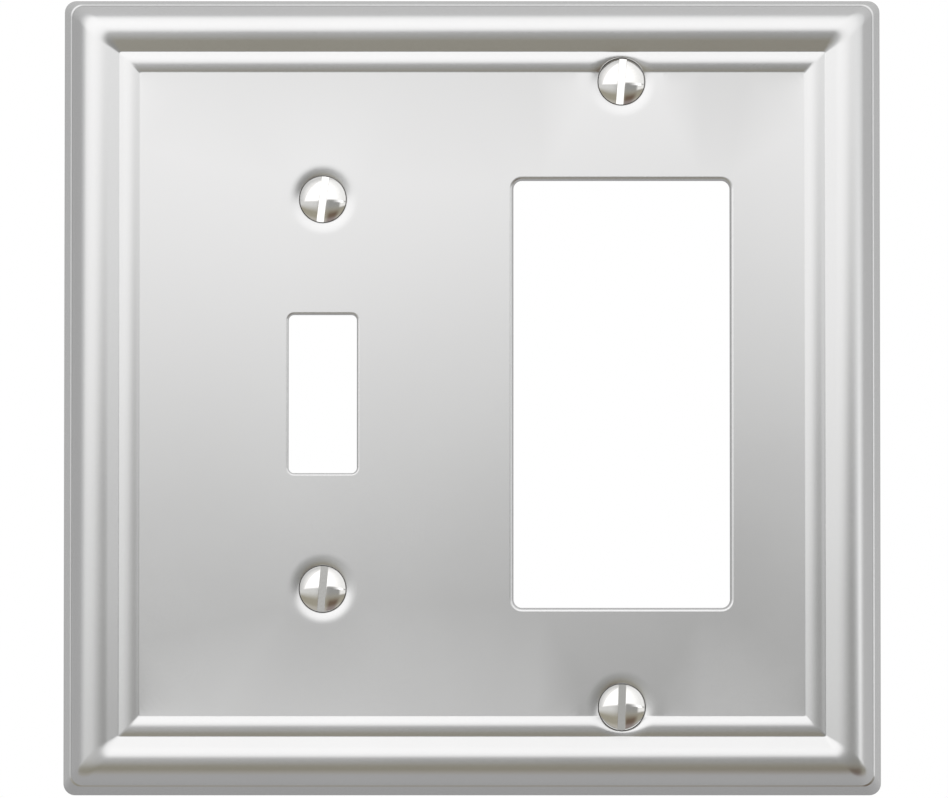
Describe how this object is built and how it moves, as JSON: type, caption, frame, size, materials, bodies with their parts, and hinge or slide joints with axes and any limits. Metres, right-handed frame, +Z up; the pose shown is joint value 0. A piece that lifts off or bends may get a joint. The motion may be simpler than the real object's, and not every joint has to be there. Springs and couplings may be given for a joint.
{
  "type": "wall plate",
  "caption": "Square metal wall plate with a moulded border, a toggle opening beside a rocker opening, held by slotted oval-head screws.",
  "frame": {"origin": "middle of the plate on the wall plane, which the rim's back edge rests on", "axes": "+X to the right as seen from the front, +Z up, the front faces -Y and the screws point to +Y, into the wall"},
  "size_m": [0.126, 0.0142, 0.1232],
  "materials": {
    "satin_nickel": "satin nickel plating on stamped steel",
    "polished_nickel": "polished nickel plating"
  },
  "bodies": {
    "plate": {"wall_plate": "satin_nickel"},
    "toggle_screw_upper": {"toggle_screw_upper": "polished_nickel"},
    "toggle_screw_lower": {"toggle_screw_lower": "polished_nickel"},
    "rocker_screw_upper": {"rocker_screw_upper": "polished_nickel"},
    "rocker_screw_lower": {"rocker_screw_lower": "polished_nickel"}
  },
  "joints": [
    {"name": "toggle_screw_upper_turn", "type": "hinge", "parent": "plate", "child": "toggle_screw_upper", "pos_m": [-0.02302, 0, 0.03016], "axis": [0, 1, 0], "continuous": true},
    {"name": "toggle_screw_lower_turn", "type": "hinge", "parent": "plate", "child": "toggle_screw_lower", "pos_m": [-0.02302, 0, -0.03016], "axis": [0, 1, 0], "continuous": true},
    {"name": "rocker_screw_upper_turn", "type": "hinge", "parent": "plate", "child": "rocker_screw_upper", "pos_m": [0.02302, 0, 0.04842], "axis": [0, 1, 0], "continuous": true},
    {"name": "rocker_screw_lower_turn", "type": "hinge", "parent": "plate", "child": "rocker_screw_lower", "pos_m": [0.02302, 0, -0.04842], "axis": [0, 1, 0], "continuous": true}
  ]
}
